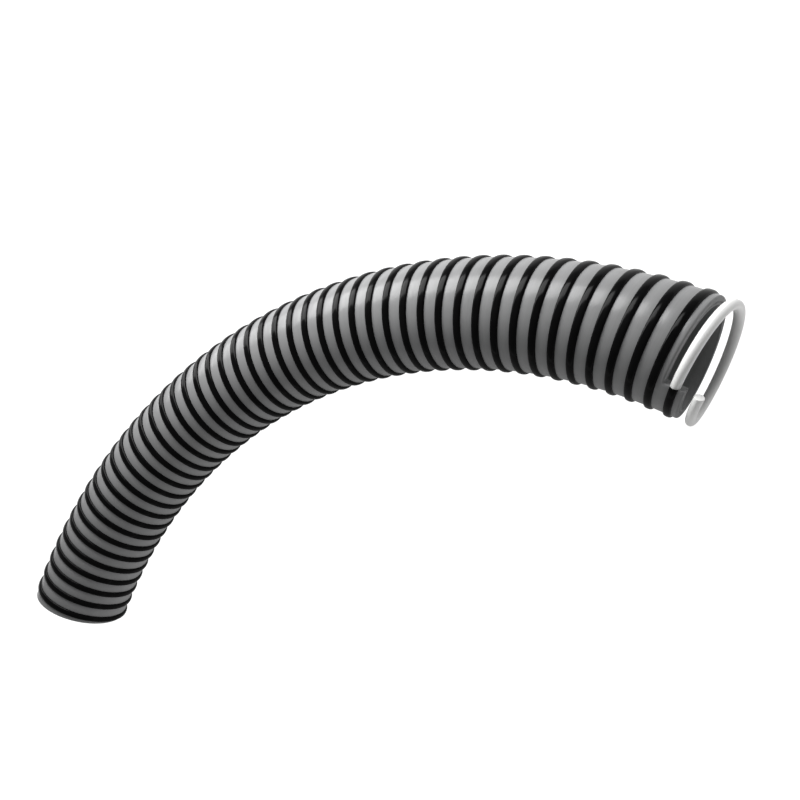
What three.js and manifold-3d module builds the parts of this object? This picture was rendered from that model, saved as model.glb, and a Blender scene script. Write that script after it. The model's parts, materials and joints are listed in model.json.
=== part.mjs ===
// Ribbed suction hose, a length cut from a coil and still bent as it lay there.
// One end is cut square. At the other the wall is stripped back along its own seam,
// which leaves a step, and the stiff helix goes on from that step as one bare turn.
// Millimetres, +Z up. The hose lies flat on its ribs, and the square end faces -Y.

import * as THREE from 'three';
import { mergeVertices } from 'three/addons/utils/BufferGeometryUtils.js';
import Module from 'manifold-3d';

// Driving sizes
const boreDiameter = 51;
const wallThickness = 4.6;
const ribHeight = 1.2;
const ribFootWidth = 4.7;
const ribCrestWidth = 2.4;
const ribPitch = 10.65;
const hoseLength = 500;
const bendRadius = 302;
const stepClock = THREE.MathUtils.degToRad(231);
const coverThickness = 0.4;
const bareTurns = 1;
const barePitch = 11.95;
const seatClearance = 0.25;

// Fineness of the solids
const facetsPerTurn = 16;
const wireSides = 10;
const mergeDistance = 1e-4;

// Worked out from the driving sizes
const boreRadius = boreDiameter / 2;
const landRadius = boreRadius + wallThickness;
const crestRadius = landRadius + ribHeight;
const wireRadius = (wallThickness + ribHeight) / 2 - coverThickness;
const wireCentreRadius = boreRadius + coverThickness + wireRadius;
const seamOffset = 0.5;

// Distance along the centreline is counted into the hose from where the rib stops at the step.
// The wall's longest tongue reaches half a pitch the other way.
const squareEnd = hoseLength - seamOffset * ribPitch;

const wasm = await Module();
wasm.setup();

// The bend: a level arc, with the axis of the bend through the origin
const axisHeight = new THREE.Vector3(0, 0, crestRadius);
const down = new THREE.Vector3(0, 0, -1);

function outwardAt(along) {
  const heading = (squareEnd - along) / bendRadius;
  return new THREE.Vector3(-Math.cos(heading), Math.sin(heading), 0);
}

function inwardAlongHoseAt(along) {
  return outwardAt(along).cross(down);
}

function centreAt(along) {
  return outwardAt(along).multiplyScalar(bendRadius).add(axisHeight);
}

// A point of the hose: its clock angle starts at the outside of the bend and goes by way of
// the floor
function pointAt(along, clock, radius) {
  const radial = outwardAt(along).multiplyScalar(Math.cos(clock)).addScaledVector(down, Math.sin(clock));
  return centreAt(along).addScaledVector(radial, radius);
}

// Turns are counted into the hose from the step, in whole facets
const wholeFacets = (turns) => Math.ceil(turns * facetsPerTurn) / facetsPerTurn;

// A straight bar with a cross-cut at each facet: its X is a radius, its Y a distance along
// the hose in pitches of the rib, and its Z a number of turns
function straightBar(section, startTurn, endTurn) {
  const depth = endTurn - startTurn;
  const steps = Math.max(1, Math.round(depth * facetsPerTurn));
  const bar = new THREE.ExtrudeGeometry(section, { depth, steps, bevelEnabled: false });
  return bar.translate(0, 0, startTurn);
}

// Winds a straight bar round the hose. The helix is left-handed: going into the hose, its
// clock angle falls. Past the step, which is at turn nought, the winding may be more open.
function wind(bar, pitchPastStep) {
  const corners = bar.attributes.position;
  for (let i = 0; i < corners.count; i += 1) {
    const turn = corners.getZ(i);
    const opened = Math.min(turn, 0) * (pitchPastStep - ribPitch);
    const along = (turn + corners.getY(i)) * ribPitch + opened;
    const place = pointAt(along, stepClock - 2 * Math.PI * (turn % 1), corners.getX(i));
    corners.setXYZ(i, place.x, place.y, place.z);
  }
  return bar;
}

// Each turn of the wall's strip is welded to the next, so the faces that meet there go, and
// only the seam of the first turn and that of the last stay
function weldSeams(bar, endTurn) {
  const source = bar.attributes.position;
  const kept = [];
  for (let i = 0; i < source.count; i += 3) {
    const corners = [0, 1, 2].map((k) => new THREE.Vector3().fromBufferAttribute(source, i + k));
    const turn = (corners[0].z + corners[1].z + corners[2].z) / 3;
    const liesOn = (seam) => corners.every((corner) => corner.y === seam);
    const welded = (liesOn(-seamOffset) && turn > 1) || (liesOn(seamOffset) && turn < endTurn - 1);
    if (!welded) {
      kept.push(...corners);
    }
  }
  return new THREE.BufferGeometry().setFromPoints(kept);
}

function toSolid(geometry) {
  geometry.deleteAttribute('normal');
  geometry.deleteAttribute('uv');
  const merged = mergeVertices(geometry, mergeDistance);
  const mesh = new wasm.Mesh({
    numProp: 3,
    vertProperties: new Float32Array(merged.attributes.position.array),
    triVerts: new Uint32Array(merged.index.array),
  });
  return new wasm.Manifold(mesh);
}

function toGeometry(solid) {
  const mesh = solid.getMesh();
  const geometry = new THREE.BufferGeometry();
  geometry.setAttribute('position', new THREE.BufferAttribute(mesh.vertProperties, mesh.numProp));
  geometry.setIndex(new THREE.BufferAttribute(mesh.triVerts, 1));
  geometry.computeVertexNormals();
  return geometry;
}

// The strip that the wall is wound from: one pitch wide, with the rub rib on its middle
function wallStrip() {
  const foot = ribFootWidth / 2 / ribPitch;
  const crest = ribCrestWidth / 2 / ribPitch;
  return new THREE.Shape([
    new THREE.Vector2(boreRadius, -seamOffset),
    new THREE.Vector2(landRadius, -seamOffset),
    new THREE.Vector2(landRadius, -foot),
    new THREE.Vector2(crestRadius, -crest),
    new THREE.Vector2(crestRadius, crest),
    new THREE.Vector2(landRadius, foot),
    new THREE.Vector2(landRadius, seamOffset),
    new THREE.Vector2(boreRadius, seamOffset),
  ]);
}

// The wound wall, with its last turns running past the square end until they are cut off
function woundWall() {
  const endTurn = wholeFacets(squareEnd / ribPitch + 1);
  const bar = straightBar(wallStrip(), 0, endTurn);
  return toSolid(wind(weldSeams(bar, endTurn), ribPitch));
}

function squareCut() {
  const size = 4 * crestRadius;
  const centre = centreAt(squareEnd).addScaledVector(inwardAlongHoseAt(squareEnd), size / 2);
  const block = new THREE.BoxGeometry(size, size, size);
  return toSolid(block.translate(centre.x, centre.y, centre.z));
}

// The stiff helix: its tail is seated in the wall for one facet past the step, and the rest is
// bare and wound a little more openly than the rib
const seatTurns = 1 / facetsPerTurn;

function wireSection(radius) {
  const corners = [];
  for (let i = 0; i < wireSides; i += 1) {
    const angle = 2 * Math.PI * (i + 0.5) / wireSides;
    const x = wireCentreRadius + radius * Math.cos(angle);
    corners.push(new THREE.Vector2(x, radius * Math.sin(angle) / ribPitch));
  }
  return new THREE.Shape(corners);
}

function bareWire() {
  const start = -wholeFacets(bareTurns);
  return toSolid(wind(straightBar(wireSection(wireRadius), start, seatTurns), barePitch));
}

function wireSeat() {
  const pastTheStep = -seatTurns;
  const end = seatTurns + seatClearance / (2 * Math.PI * wireCentreRadius);
  const section = wireSection(wireRadius + seatClearance);
  return toSolid(wind(straightBar(section, pastTheStep, end), ribPitch));
}

function hoseWall() {
  return woundWall().subtract(squareCut()).subtract(wireSeat());
}

// Materials
const greySoftVinyl = new THREE.MeshStandardMaterial({ color: 0x8a8a8a, roughness: 0.45, metalness: 0 });
const whiteRigidVinyl = new THREE.MeshStandardMaterial({ color: 0xe8e8e6, roughness: 0.4, metalness: 0 });

function addPiece(group, name, solid, material) {
  const piece = new THREE.Mesh(toGeometry(solid), material);
  piece.name = name;
  group.add(piece);
}

const hose = new THREE.Group();
addPiece(hose, 'hose_wall', hoseWall(), greySoftVinyl);
addPiece(hose, 'helix_wire', bareWire(), whiteRigidVinyl);

// The origin is under the middle of the hose, on the floor
const box = new THREE.Box3().setFromObject(hose);
const middle = box.getCenter(new THREE.Vector3());
hose.position.set(-middle.x, -middle.y, -box.min.z);

export default hose;
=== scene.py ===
import json
import math

import bmesh
import bpy
from mathutils import Matrix, Quaternion, Vector


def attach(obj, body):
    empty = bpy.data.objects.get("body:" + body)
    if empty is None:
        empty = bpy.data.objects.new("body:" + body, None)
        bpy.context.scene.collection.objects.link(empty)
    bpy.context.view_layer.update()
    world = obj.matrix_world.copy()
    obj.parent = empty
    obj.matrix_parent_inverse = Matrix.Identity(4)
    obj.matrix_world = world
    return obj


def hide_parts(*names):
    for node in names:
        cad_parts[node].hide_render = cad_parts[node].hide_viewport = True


# Ribbed suction hose: a bent length of soft grey PVC with a black rub rib wound round it. One end
# is cut square. At the other the wall is stripped back along its seam, and the stiff white helix
# goes on from that step as one bare turn. Metres, +Z up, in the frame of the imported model.
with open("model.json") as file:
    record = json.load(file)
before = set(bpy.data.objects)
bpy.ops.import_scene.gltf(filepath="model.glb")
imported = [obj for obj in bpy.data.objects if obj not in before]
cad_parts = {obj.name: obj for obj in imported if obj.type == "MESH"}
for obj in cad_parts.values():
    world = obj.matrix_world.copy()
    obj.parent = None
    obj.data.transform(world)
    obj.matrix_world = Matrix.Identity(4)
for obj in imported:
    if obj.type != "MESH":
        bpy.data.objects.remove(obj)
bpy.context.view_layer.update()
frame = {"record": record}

# Driving sizes of the hose
BORE_RADIUS = 0.0255
WALL_THICKNESS = 0.0046
RIB_HEIGHT = 0.0012
RIB_WIDTH = 0.0042
RIB_PITCH = 0.01065
HOSE_LENGTH = 0.5
BEND_RADIUS = 0.302
STEP_CLOCK = math.radians(231)
WIRE_COVER = 0.0004
BARE_TURNS = 1.0
BARE_PITCH = 0.01195
SEAT_DEPTH = 0.006

# Sizes of the finish
FOOT_DIP = 0.0001
FOOT_FILLET = 0.0004
RIB_SQUARENESS = 0.75
MOUTH_GROOVE_RADIUS = 0.0271
MOUTH_GROOVE_DEPTH = 0.0006
MOUTH_GROOVE_WIDTH = 0.0008
MOUTH_ROUNDING = 0.0012
EDGE_ROUNDING = 0.00015
WIRE_END_ROUNDING = 0.00035
SEAM = 0.5

# The knife's cuts, each with the share of its width that is matt before it fades into the skin
MOUTH_CUT_WIDTH = 0.0014
MOUTH_CUT_CORE = 0.3
STEP_CUT_WIDTH = 0.0004
STEP_CUT_CORE = 0.25

# Fineness of the meshes
FACETS_PER_TURN = 96
RIB_SIDES = 12
WIRE_SIDES = 32
MOUTH_SEGMENTS = 5
EDGE_SEGMENTS = 2
WIRE_END_SEGMENTS = 3
WELD_DISTANCE = 1e-5
SEAM_MARGIN = 0.0003
SHARP_ANGLE = math.radians(38)
EDGE_ANGLE = math.radians(55)

# Worked out from the driving sizes
LAND_RADIUS = BORE_RADIUS + WALL_THICKNESS
CREST_RADIUS = LAND_RADIUS + RIB_HEIGHT
WIRE_RADIUS = (WALL_THICKNESS + RIB_HEIGHT) / 2 - WIRE_COVER
WIRE_CENTRE_RADIUS = BORE_RADIUS + WIRE_COVER + WIRE_RADIUS
SQUARE_END = HOSE_LENGTH - SEAM * RIB_PITCH
SEAT_TURNS = SEAT_DEPTH / (2 * math.pi * WIRE_CENTRE_RADIUS)
END_TURN = math.ceil(SQUARE_END / RIB_PITCH + 1)

# The bend's axis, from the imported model: the square end's face and the middle of its bore
mounts = {mount["name"]: mount for mount in frame["record"]["mounts"]}
square_face = mounts["square_end"]["pos_m"]
BEND_AXIS = Vector((square_face[0] + BEND_RADIUS, square_face[1], CREST_RADIUS))
DOWN = Vector((0, 0, -1))


# Distance along the centreline is counted into the hose from where the rib stops at the step.
# A clock angle starts at the outside of the bend and goes by way of the floor.
def outward_at(along):
    heading = (SQUARE_END - along) / BEND_RADIUS
    return Vector((-math.cos(heading), math.sin(heading), 0))


def centre_at(along):
    return BEND_AXIS + outward_at(along) * BEND_RADIUS


# Camera, from the photograph: it looks down on the hose, and its picture is turned so that the
# stripped end lies to the right
CAMERA_PLACE = Vector((0.228352, 0.092823, 0.394017))
CAMERA_AIM = Vector((0.028952, 0.058558, 0.0313))
CAMERA_TURN = math.radians(77.02)
CAMERA_LENS = 32.713
CAMERA_SHIFT = (0.0014, 0.0006)
SENSOR_WIDTH = 36.0


def add_camera():
    data = bpy.data.cameras.new("camera")
    data.lens = CAMERA_LENS
    data.sensor_width = SENSOR_WIDTH
    data.shift_x = CAMERA_SHIFT[0]
    data.shift_y = CAMERA_SHIFT[1]
    data.clip_start = 0.01
    camera = bpy.data.objects.new("camera", data)
    bpy.context.scene.collection.objects.link(camera)
    sight = (CAMERA_AIM - CAMERA_PLACE).normalized()
    camera.location = CAMERA_PLACE
    camera.rotation_mode = "QUATERNION"
    camera.rotation_quaternion = Quaternion(sight, CAMERA_TURN) @ sight.to_track_quat("-Z", "Y")
    bpy.context.scene.camera = camera


add_camera()


# Building node trees
class TreeMaker:
    def __init__(self, name, kind):
        self.tree = bpy.data.node_groups.new(name, kind)
        self.inlet = self.tree.nodes.new("NodeGroupInput")
        self.outlet = self.tree.nodes.new("NodeGroupOutput")

    def input(self, name, socket_type, default=None):
        socket = self.tree.interface.new_socket(name, in_out="INPUT", socket_type=socket_type)
        if default is not None:
            socket.default_value = default
        return self.inlet.outputs[name]

    def output(self, name, socket_type, source):
        self.tree.interface.new_socket(name, in_out="OUTPUT", socket_type=socket_type)
        self.tree.links.new(source, self.outlet.inputs[name])

    def node(self, kind, feeds=None, **settings):
        node = self.tree.nodes.new(kind)
        for name, value in settings.items():
            setattr(node, name, value)
        for key, value in (feeds or {}).items():
            self.feed(node.inputs[key], value)
        return node

    def feed(self, socket, value):
        if isinstance(value, bpy.types.NodeSocket):
            self.tree.links.new(value, socket)
        else:
            socket.default_value = value

    def math(self, operation, first, second=None):
        node = self.node("ShaderNodeMath", {0: first}, operation=operation)
        if second is not None:
            self.feed(node.inputs[1], second)
        return node.outputs[0]

    def noise(self, place, scale, detail, roughness):
        feeds = {"Vector": place, "Scale": scale, "Detail": detail, "Roughness": roughness}
        return self.node("ShaderNodeTexNoise", feeds).outputs["Fac"]

    def smooth(self, value, low, high):
        node = self.node("ShaderNodeMapRange", {"Value": value, "From Min": low, "From Max": high})
        node.interpolation_type = "SMOOTHSTEP"
        return node.outputs[0]

    def vector(self, x, y, z):
        return self.node("ShaderNodeCombineXYZ", {"X": x, "Y": y, "Z": z}).outputs[0]

    def parts(self, vector):
        return self.node("ShaderNodeSeparateXYZ", {"Vector": vector}).outputs

    def compare(self, operation, first, second):
        node = self.node("FunctionNodeCompare", operation=operation, data_type="FLOAT")
        self.feed(node.inputs["A"], first)
        self.feed(node.inputs["B"], second)
        return node.outputs["Result"]

    def logic(self, operation, first, second):
        node = self.node("FunctionNodeBooleanMath", {0: first, 1: second}, operation=operation)
        return node.outputs[0]

    def moved(self, geometry, position):
        feeds = {"Geometry": geometry, "Position": position}
        return self.node("GeometryNodeSetPosition", feeds).outputs["Geometry"]


# A section is a flat face whose X is a radius and whose Y is a distance along the hose, in
# pitches. The tree makes a straight bar of it, whose Z is a number of turns, drops the faces
# where one turn is welded to the next, and winds the bar round the bent hose.
def make_winding_tree():
    maker = TreeMaker("wind strip round hose", "GeometryNodeTree")
    section = maker.input("Section", "NodeSocketGeometry")
    start = maker.input("Start turn", "NodeSocketFloat")
    end = maker.input("End turn", "NodeSocketFloat")
    facets = maker.input("Facets per turn", "NodeSocketInt")
    pitch = maker.input("Pitch", "NodeSocketFloat")
    bare_pitch = maker.input("Pitch past the step", "NodeSocketFloat")
    bend_radius = maker.input("Bend radius", "NodeSocketFloat")
    bend_axis = maker.input("Bend axis", "NodeSocketVector")
    clock = maker.input("Step clock", "NodeSocketFloat")
    square_end = maker.input("Square end", "NodeSocketFloat")
    round_length = maker.input("Length of a turn", "NodeSocketFloat")
    welded = maker.input("Turns welded", "NodeSocketBool")
    material = maker.input("Material", "NodeSocketMaterial")

    position = maker.node("GeometryNodeInputPosition").outputs[0]
    section_size = maker.node("GeometryNodeAttributeDomainSize", {"Geometry": section})
    corners = section_size.outputs["Point Count"]
    turns = maker.math("SUBTRACT", end, start)
    steps = maker.math("ROUND", maker.math("MULTIPLY", turns, facets))
    grid = maker.node("GeometryNodeMeshGrid", {
        "Size X": 1.0,
        "Size Y": 1.0,
        "Vertices X": maker.math("ADD", corners, 1.0),
        "Vertices Y": maker.math("ADD", steps, 1.0),
    }).outputs["Mesh"]
    spot = maker.parts(position)
    count = maker.math("ROUND", maker.math("MULTIPLY", maker.math("ADD", spot["X"], 0.5), corners))
    sample = maker.node("GeometryNodeSampleIndex", data_type="FLOAT_VECTOR", domain="POINT")
    maker.feed(sample.inputs["Geometry"], section)
    maker.feed(sample.inputs["Value"], position)
    maker.feed(sample.inputs["Index"], maker.math("FLOORED_MODULO", count, corners))
    corner = maker.parts(sample.outputs["Value"])
    turn = maker.math("MULTIPLY_ADD", maker.math("ADD", spot["Y"], 0.5), turns)
    maker.feed(turn.node.inputs[2], start)
    bar = maker.moved(grid, maker.vector(corner["X"], corner["Y"], turn))

    place = maker.parts(position)
    under_land = maker.compare("LESS_THAN", place["X"], LAND_RADIUS - SEAM_MARGIN)
    over_bore = maker.compare("GREATER_THAN", place["X"], BORE_RADIUS + SEAM_MARGIN)
    mouth_side = maker.compare("LESS_THAN", place["Y"], 0.0)
    past_first = maker.compare("GREATER_THAN", place["Z"], 1.0)
    far_side = maker.compare("GREATER_THAN", place["Y"], 0.0)
    before_last = maker.compare("LESS_THAN", place["Z"], maker.math("SUBTRACT", end, 1.0))
    inside = maker.logic("AND", under_land, over_bore)
    mouth_seam = maker.logic("AND", mouth_side, past_first)
    far_seam = maker.logic("AND", far_side, before_last)
    seam = maker.logic("AND", maker.logic("OR", mouth_seam, far_seam), inside)
    dropped = maker.logic("AND", seam, welded)
    feeds = {"Geometry": bar, "Selection": dropped}
    open_bar = maker.node("GeometryNodeDeleteGeometry", feeds, domain="FACE")

    join = maker.node("GeometryNodeJoinGeometry", {"Geometry": open_bar.outputs["Geometry"]})
    for cap_turn in (start, end):
        cap = maker.moved(section, maker.vector(place["X"], place["Y"], cap_turn))
        maker.tree.links.new(cap, join.inputs["Geometry"])
    strip_run = maker.math("MULTIPLY", place["Z"], round_length)
    strip = maker.vector(strip_run, maker.math("MULTIPLY", place["Y"], pitch), 0.0)
    marked = maker.node("GeometryNodeStoreNamedAttribute", {
        "Geometry": join.outputs["Geometry"],
        "Name": "strip",
        "Value": strip,
    }, data_type="FLOAT2", domain="CORNER").outputs["Geometry"]

    bare_turn = maker.math("MINIMUM", place["Z"], 0.0)
    opened = maker.math("MULTIPLY", bare_turn, maker.math("SUBTRACT", bare_pitch, pitch))
    pitches = maker.math("ADD", place["Z"], place["Y"])
    along = maker.math("ADD", maker.math("MULTIPLY", pitches, pitch), opened)
    turned = maker.math("MULTIPLY", maker.math("FRACT", place["Z"]), 2 * math.pi)
    angle = maker.math("SUBTRACT", clock, turned)
    heading = maker.math("DIVIDE", maker.math("SUBTRACT", square_end, along), bend_radius)
    sideways = maker.math("MULTIPLY", place["X"], maker.math("COSINE", angle))
    reach = maker.math("ADD", bend_radius, sideways)
    depth = maker.math("MULTIPLY", place["X"], maker.math("SINE", angle))
    from_axis = maker.vector(
        maker.math("MULTIPLY", maker.math("COSINE", heading), maker.math("MULTIPLY", reach, -1.0)),
        maker.math("MULTIPLY", maker.math("SINE", heading), reach),
        maker.math("MULTIPLY", depth, -1.0),
    )
    wound_place = maker.node("ShaderNodeVectorMath", {0: bend_axis, 1: from_axis}, operation="ADD")
    wound = maker.moved(marked, wound_place.outputs[0])
    weld = maker.node("GeometryNodeMergeByDistance", {"Geometry": wound, "Distance": WELD_DISTANCE})
    smooth = maker.node("GeometryNodeSetShadeSmooth", {"Geometry": weld.outputs["Geometry"]})
    real = maker.node("GeometryNodeRealizeInstances", {"Geometry": smooth.outputs[0]})
    feeds = {"Geometry": real.outputs[0], "Material": material}
    finished = maker.node("GeometryNodeSetMaterial", feeds)
    maker.output("Wound strip", "NodeSocketGeometry", finished.outputs[0])
    return maker.tree


def section_mesh(name, corners):
    mesh = bpy.data.meshes.new(name)
    mesh.from_pydata([(radius, across, 0) for radius, across in corners], [], [range(len(corners))])
    return mesh


def wind_piece(name, corners, turns, welded, material):
    piece = bpy.data.objects.new(name, section_mesh(name, corners))
    bpy.context.scene.collection.objects.link(piece)
    modifier = piece.modifiers.new("winding", "NODES")
    modifier.node_group = winding_tree
    values = {
        "Start turn": turns[0],
        "End turn": turns[1],
        "Facets per turn": FACETS_PER_TURN,
        "Pitch": RIB_PITCH,
        "Pitch past the step": BARE_PITCH,
        "Bend radius": BEND_RADIUS,
        "Bend axis": BEND_AXIS,
        "Step clock": STEP_CLOCK,
        "Square end": SQUARE_END,
        "Length of a turn": 2 * math.pi * LAND_RADIUS,
        "Turns welded": welded,
        "Material": material,
    }
    for socket in winding_tree.interface.items_tree:
        if socket.in_out == "INPUT" and socket.name in values:
            modifier[socket.identifier] = values[socket.name]
    depsgraph = bpy.context.evaluated_depsgraph_get()
    mesh = bpy.data.meshes.new_from_object(piece.evaluated_get(depsgraph))
    piece.modifiers.clear()
    piece.data = mesh
    mesh.name = name
    return piece


def round_edges(shape, edges, rounding, segments):
    bmesh.ops.bevel(
        shape, geom=edges, offset=rounding, segments=segments, profile=0.5, affect="EDGES",
        clamp_overlap=True)


def on_radius(corner, radius):
    from_axis = corner.co - BEND_AXIS
    level = Vector((from_axis.x, from_axis.y, 0)).length - BEND_RADIUS
    return abs(math.hypot(level, from_axis.z) - radius) < SEAM_MARGIN


def sharp_edges(shape):
    return [edge for edge in shape.edges if edge.calc_face_angle(0) > EDGE_ANGLE]


# A cap is a whole section, so it has more corners than the faces along the strip
def at_cap(edge):
    return any(len(face.verts) > 4 for face in edge.link_faces)


# The wall's mouth is well rounded outside, and each other edge a little
def round_wall(shape):
    mouth = [edge for edge in sharp_edges(shape)
             if not at_cap(edge) and all(on_radius(corner, LAND_RADIUS) for corner in edge.verts)]
    round_edges(shape, mouth, MOUTH_ROUNDING, MOUTH_SEGMENTS)
    round_edges(shape, sharp_edges(shape), EDGE_ROUNDING, EDGE_SEGMENTS)


def cap_edges(shape):
    return [edge for edge in sharp_edges(shape) if at_cap(edge)]


def round_rib(shape):
    round_edges(shape, cap_edges(shape), EDGE_ROUNDING, EDGE_SEGMENTS)


def round_wire(shape):
    round_edges(shape, cap_edges(shape), WIRE_END_ROUNDING, WIRE_END_SEGMENTS)


# The winding ends a little past the square end, and is cut off there
def cut_square(shape):
    everything = shape.verts[:] + shape.edges[:] + shape.faces[:]
    outwards = outward_at(SQUARE_END).cross(DOWN)
    cut = bmesh.ops.bisect_plane(
        shape, geom=everything, plane_co=centre_at(SQUARE_END), plane_no=outwards, clear_outer=True)
    ring = [item for item in cut["geom_cut"] if isinstance(item, bmesh.types.BMEdge)]
    bmesh.ops.triangle_fill(shape, use_beauty=True, edges=ring, normal=outwards)


# Closes the wound strip, rounds its edges and cuts it to length. The winding leaves an empty
# slot before the piece's own material, so that material is made the only one.
def finish_piece(piece, round_off, cut):
    shape = bmesh.new()
    shape.from_mesh(piece.data)
    gaps = [edge for edge in shape.edges if edge.is_boundary]
    bmesh.ops.holes_fill(shape, edges=gaps, sides=0)
    bmesh.ops.recalc_face_normals(shape, faces=shape.faces)
    round_off(shape)
    if cut:
        cut_square(shape)
    bmesh.ops.recalc_face_normals(shape, faces=shape.faces)
    for face in shape.faces:
        face.smooth = True
        face.material_index = 0
    shape.to_mesh(piece.data)
    shape.free()
    material = piece.data.materials[-1]
    piece.data.materials.clear()
    piece.data.materials.append(material)
    piece.data.set_sharp_from_angle(angle=SHARP_ANGLE)


# The wall's strip is one pitch wide, with a bed for the rib on its middle and a shallow groove
# in the side that becomes the mouth. The far side has points to match those of the groove.
def wall_section():
    foot = RIB_WIDTH / 2 / RIB_PITCH
    fillet = (RIB_WIDTH / 2 + FOOT_FILLET) / RIB_PITCH
    dip = LAND_RADIUS - FOOT_DIP
    inner = MOUTH_GROOVE_RADIUS - MOUTH_GROOVE_WIDTH / 2
    outer = MOUTH_GROOVE_RADIUS + MOUTH_GROOVE_WIDTH / 2
    groove = (MOUTH_GROOVE_RADIUS, MOUTH_GROOVE_DEPTH / RIB_PITCH - SEAM)
    rib_bed = [(LAND_RADIUS, -fillet), (dip, -foot), (dip, foot), (LAND_RADIUS, fillet)]
    far_side = [(LAND_RADIUS, SEAM), (outer, SEAM), (inner, SEAM), (BORE_RADIUS, SEAM)]
    mouth_side = [(BORE_RADIUS, -SEAM), (inner, -SEAM), groove, (outer, -SEAM)]
    return [(LAND_RADIUS, -SEAM)] + rib_bed + far_side + [(BORE_RADIUS, 0)] + mouth_side


# The rib is half an oval, squared a little, on a straight foot
def rib_section():
    foot = RIB_WIDTH / 2 / RIB_PITCH
    base = LAND_RADIUS - FOOT_DIP
    height = RIB_HEIGHT + FOOT_DIP
    corners = []
    for i in range(RIB_SIDES + 1):
        angle = math.pi * i / RIB_SIDES
        rise = max(math.sin(angle), 0) ** RIB_SQUARENESS
        across = math.copysign(abs(math.cos(angle)) ** RIB_SQUARENESS, -math.cos(angle))
        corners.append((base + height * rise, foot * across))
    return corners


def wire_section():
    angles = [2 * math.pi * i / WIRE_SIDES for i in range(WIRE_SIDES)]
    across = WIRE_RADIUS / RIB_PITCH
    return [(WIRE_CENTRE_RADIUS + WIRE_RADIUS * math.cos(a), across * math.sin(a)) for a in angles]


# Materials. Noise mostly keeps between these two values.
NOISE_LOW = 0.3
NOISE_HIGH = 0.7

# A mix node's colour sockets share their names with its other sockets, so they go by number
MIX_FIRST_COLOUR = 6
MIX_SECOND_COLOUR = 7
MIX_COLOUR = 2


# Extruded plastic: streaks that run along the strip, soft clouds and a fine grain
def make_grain_group():
    maker = TreeMaker("extruded pvc", "ShaderNodeTree")
    strip = maker.input("Strip", "NodeSocketVector")
    place = maker.input("Place", "NodeSocketVector")
    lines = maker.input("Lines per metre", "NodeSocketFloat", 2500.0)
    line_length = maker.input("Line length", "NodeSocketFloat", 0.08)
    run = maker.parts(strip)
    lengthwise = maker.math("DIVIDE", run["X"], line_length)
    stretched = maker.vector(lengthwise, maker.math("MULTIPLY", run["Y"], lines), 0.0)
    streaks = maker.noise(stretched, scale=1.0, detail=3.0, roughness=0.6)
    clouds = maker.noise(place, scale=90.0, detail=4.0, roughness=0.55)
    grain = maker.noise(place, scale=2600.0, detail=2.0, roughness=0.5)
    maker.output("Streaks", "NodeSocketFloat", streaks)
    maker.output("Clouds", "NodeSocketFloat", clouds)
    maker.output("Grain", "NodeSocketFloat", grain)
    return maker.tree


# The faces that the knife left: the mouth, along the strip's seam in its first turn, and the step
def make_cut_group():
    maker = TreeMaker("knife cut", "ShaderNodeTree")
    strip = maker.input("Strip", "NodeSocketVector")
    width = maker.input("Width of the mouth's cut", "NodeSocketFloat", MOUTH_CUT_WIDTH)
    step_width = maker.input("Width of the step's cut", "NodeSocketFloat", STEP_CUT_WIDTH)
    turn = maker.input("Length of a turn", "NodeSocketFloat", 2 * math.pi * LAND_RADIUS)
    run = maker.parts(strip)
    from_seam = maker.math("ADD", run["Y"], SEAM * RIB_PITCH)
    off_mouth = maker.smooth(from_seam, maker.math("MULTIPLY", width, MOUTH_CUT_CORE), width)
    step_core = maker.math("MULTIPLY", step_width, STEP_CUT_CORE)
    off_step = maker.smooth(run["X"], step_core, step_width)
    in_first_turn = maker.math("LESS_THAN", run["X"], turn)
    mouth = maker.math("MULTIPLY", maker.math("SUBTRACT", 1.0, off_mouth), in_first_turn)
    step = maker.math("SUBTRACT", 1.0, off_step)
    maker.output("Cut", "NodeSocketFloat", maker.math("MAXIMUM", mouth, step))
    return maker.tree


class MaterialMaker(TreeMaker):
    def __init__(self, name):
        self.material = bpy.data.materials.new(name)
        self.material.use_nodes = True
        self.tree = self.material.node_tree
        self.shader = self.tree.nodes["Principled BSDF"]
        self.place = self.node("ShaderNodeTexCoord").outputs["Object"]

    def set(self, name, value):
        self.feed(self.shader.inputs[name], value)

    def strip(self):
        return self.node("ShaderNodeUVMap", uv_map="strip").outputs["UV"]

    def blend(self, share, low, high):
        node = self.node("ShaderNodeMix", data_type="RGBA", clamp_factor=True)
        self.feed(node.inputs["Factor"], share)
        self.feed(node.inputs[MIX_FIRST_COLOUR], low)
        self.feed(node.inputs[MIX_SECOND_COLOUR], high)
        return node.outputs[MIX_COLOUR]

    def spread(self, value, low, high):
        feeds = {"Value": value, "From Min": NOISE_LOW, "From Max": NOISE_HIGH}
        feeds.update({"To Min": low, "To Max": high})
        return self.node("ShaderNodeMapRange", feeds).outputs[0]

    def grain(self):
        feeds = {"Strip": self.strip(), "Place": self.place}
        return self.group(grain_group, feeds)

    def cut(self):
        return self.group(cut_group, {"Strip": self.strip()})["Cut"]

    def group(self, tree, feeds):
        node = self.node("ShaderNodeGroup", node_tree=tree)
        for name, value in feeds.items():
            self.feed(node.inputs[name], value)
        return node.outputs

    def bump(self, detail, grain_share, depth):
        grain = self.math("MULTIPLY", detail["Grain"], grain_share)
        height = self.math("ADD", detail["Streaks"], grain)
        feeds = {"Height": height, "Distance": depth, "Strength": 1.0}
        self.set("Normal", self.node("ShaderNodeBump", feeds).outputs["Normal"])


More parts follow.
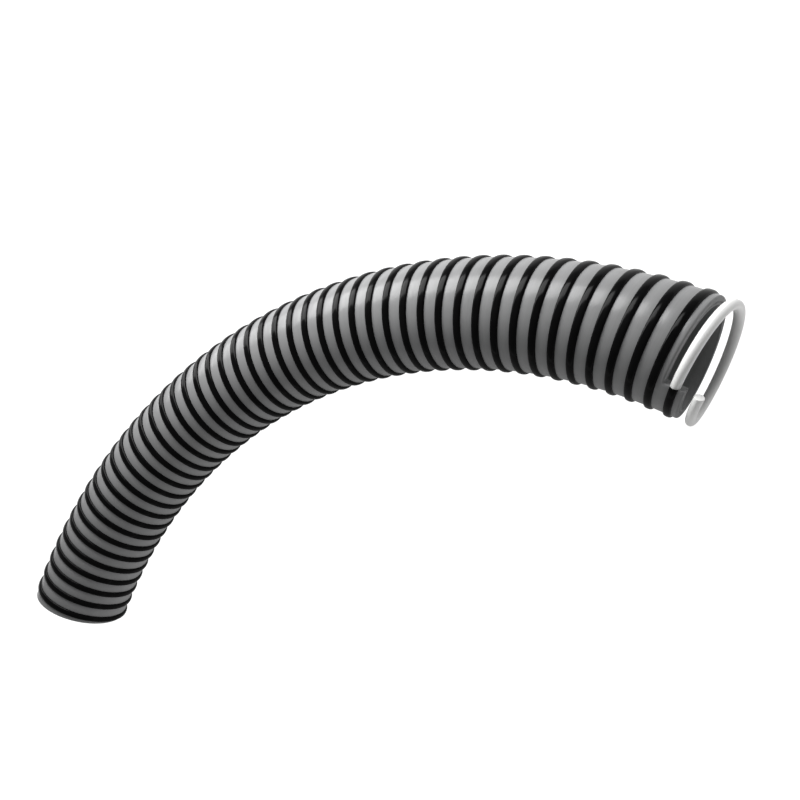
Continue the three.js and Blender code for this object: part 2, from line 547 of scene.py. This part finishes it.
# Soft grey wall: a glossy extruded skin, and matt where the knife went
def soft_grey_pvc():
    maker = MaterialMaker("soft grey pvc")
    detail = maker.grain()
    cut = maker.cut()
    streak_share = 0.45
    streaks = maker.math("MULTIPLY", detail["Streaks"], streak_share)
    tone = maker.math("ADD", streaks, maker.math("MULTIPLY", detail["Clouds"], 1 - streak_share))
    dark_skin = (0.235, 0.236, 0.238, 1)
    light_skin = (0.275, 0.276, 0.278, 1)
    cut_face = (0.225, 0.226, 0.228, 1)
    skin = maker.blend(maker.spread(tone, 0.0, 1.0), dark_skin, light_skin)
    maker.set("Base Color", maker.blend(cut, skin, cut_face))
    skin_roughness = maker.spread(detail["Clouds"], 0.19, 0.27)
    rougher = maker.math("MULTIPLY", cut, 0.35)
    maker.set("Roughness", maker.math("ADD", skin_roughness, rougher))
    skin_specular = 0.27
    duller = maker.math("MULTIPLY", cut, 0.15)
    maker.set("Specular IOR Level", maker.math("SUBTRACT", skin_specular, duller))
    maker.bump(detail, grain_share=0.5, depth=0.00003)
    return maker.material


# Black rib: a smoother skin, which shows narrow streaks of light
def black_rib_pvc():
    maker = MaterialMaker("black rib pvc")
    detail = maker.grain()
    dark = (0.0022, 0.0022, 0.0023, 1)
    light = (0.0040, 0.0040, 0.0042, 1)
    maker.set("Base Color", maker.blend(maker.spread(detail["Clouds"], 0.0, 1.0), dark, light))
    maker.set("Roughness", maker.spread(detail["Clouds"], 0.13, 0.19))
    maker.set("Specular IOR Level", 0.08)
    maker.bump(detail, grain_share=0.4, depth=0.00002)
    return maker.material


# White helix: hard and satin
def rigid_white_pvc():
    maker = MaterialMaker("rigid white pvc")
    detail = maker.grain()
    dark = (0.87, 0.87, 0.86, 1)
    light = (0.91, 0.91, 0.90, 1)
    maker.set("Base Color", maker.blend(maker.spread(detail["Clouds"], 0.0, 1.0), dark, light))
    maker.set("Roughness", maker.spread(detail["Clouds"], 0.30, 0.42))
    maker.set("IOR", 1.53)
    maker.bump(detail, grain_share=0.4, depth=0.00003)
    return maker.material


grain_group = make_grain_group()
cut_group = make_cut_group()
winding_tree = make_winding_tree()

wall = wind_piece("hose_wall_soft_pvc", wall_section(), (0, END_TURN), True, soft_grey_pvc())
finish_piece(wall, round_wall, cut=True)
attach(wall, "root")
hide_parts("hose_wall")

rib = wind_piece("rub_rib", rib_section(), (0, END_TURN), False, black_rib_pvc())
finish_piece(rib, round_rib, cut=True)
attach(rib, "root")
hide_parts("hose_wall")

wire = wind_piece("bare_helix_wire", wire_section(), (-BARE_TURNS, SEAT_TURNS), False, rigid_white_pvc())
finish_piece(wire, round_wire, cut=False)
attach(wire, "root")
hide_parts("helix_wire")


# Studio: a pale floor that glows softly, as a light table does, and two soft lights in a row
# beside the hose, the dimmer one towards the square end. In the hose's gloss the floor's glow is
# painted dimmer inside the bend, a painted shadow that stands in for the hose's own shadow there.
FLOOR_SIZE = 8.0
FLOOR_DARK = (0.13, 0.13, 0.13, 1)
FLOOR_LIGHT = (0.15, 0.15, 0.15, 1)
WHITE = (1, 1, 1, 1)
FLOOR_GLOW = 0.95
FLOOR_SEEN = 1.15
GLOSS_IN_PAINTED_SHADOW = 0.2
GLOSS_OUTSIDE_BEND = 0.65
LIGHT_TOWARDS = Vector((-0.655, 0.501, 0.565))
LIGHT_RUN = Vector((-0.745, -0.552, -0.375))
LIGHT_HEIGHT = 0.24
NEAR_LIGHT = {"place": Vector((-0.170, 0.364, 0.313)), "length": 0.544, "power": 3.55}
FAR_LIGHT = {"place": Vector((-0.477, 0.136, 0.159)), "length": 0.28, "power": 0.75}
SKY_STRENGTH = 0.22
SKY_SEEN = 0.95


def add_floor():
    mesh = bpy.data.meshes.new("floor")
    half = FLOOR_SIZE / 2
    corners = [(-half, -half, 0), (half, -half, 0), (half, half, 0), (-half, half, 0)]
    mesh.from_pydata(corners, [], [(0, 1, 2, 3)])
    maker = MaterialMaker("pale floor")
    clouds = maker.noise(maker.place, scale=6.0, detail=2.0, roughness=0.5)
    maker.set("Base Color", maker.blend(clouds, FLOOR_DARK, FLOOR_LIGHT))
    maker.set("Roughness", 0.9)
    maker.set("Emission Color", WHITE)
    # Painted shadow in the reflections: the glow that the hose's gloss sees is dimmed inside the bend
    middle = Vector((BEND_AXIS.x, BEND_AXIS.y, 0))
    feeds = {0: maker.place, 1: middle}
    reach = maker.node("ShaderNodeVectorMath", feeds, operation="DISTANCE").outputs["Value"]
    outside = maker.smooth(reach, BEND_RADIUS - LAND_RADIUS / 2, BEND_RADIUS + LAND_RADIUS / 2)
    feeds = {"Value": outside, "To Min": GLOSS_IN_PAINTED_SHADOW - 1, "To Max": GLOSS_OUTSIDE_BEND - 1}
    gloss = maker.node("ShaderNodeMapRange", feeds).outputs[0]
    ray = maker.node("ShaderNodeLightPath").outputs
    in_gloss = maker.math("MULTIPLY", ray["Is Glossy Ray"], gloss)
    seen = maker.math("MULTIPLY", ray["Is Camera Ray"], FLOOR_SEEN - 1)
    share = maker.math("ADD", maker.math("ADD", in_gloss, seen), 1.0)
    maker.set("Emission Strength", maker.math("MULTIPLY", share, FLOOR_GLOW))
    mesh.materials.append(maker.material)
    floor = bpy.data.objects.new("floor", mesh)
    bpy.context.scene.collection.objects.link(floor)


def add_soft_light(name, place, length, power):
    data = bpy.data.lights.new(name, "AREA")
    data.shape = "RECTANGLE"
    data.size = length
    data.size_y = LIGHT_HEIGHT
    data.energy = power
    light = bpy.data.objects.new(name, data)
    bpy.context.scene.collection.objects.link(light)
    towards = LIGHT_TOWARDS.normalized()
    run = (LIGHT_RUN - towards * LIGHT_RUN.dot(towards)).normalized()
    turned = Matrix((run, towards.cross(run), towards)).transposed()
    light.matrix_world = Matrix.Translation(place) @ turned.to_4x4()


# The camera sees the sky nearly white, and it lights the hose less
def add_sky():
    world = bpy.data.worlds.new("sky")
    world.use_nodes = True
    background = world.node_tree.nodes["Background"]
    background.inputs["Color"].default_value = WHITE
    ray = world.node_tree.nodes.new("ShaderNodeLightPath")
    strength = world.node_tree.nodes.new("ShaderNodeMapRange")
    strength.inputs["To Min"].default_value = SKY_STRENGTH
    strength.inputs["To Max"].default_value = SKY_SEEN
    world.node_tree.links.new(ray.outputs["Is Camera Ray"], strength.inputs["Value"])
    world.node_tree.links.new(strength.outputs[0], background.inputs["Strength"])
    bpy.context.scene.world = world


add_floor()
add_soft_light("near light", **NEAR_LIGHT)
add_soft_light("far light", **FAR_LIGHT)
add_sky()
bpy.context.scene.view_settings.view_transform = "Standard"
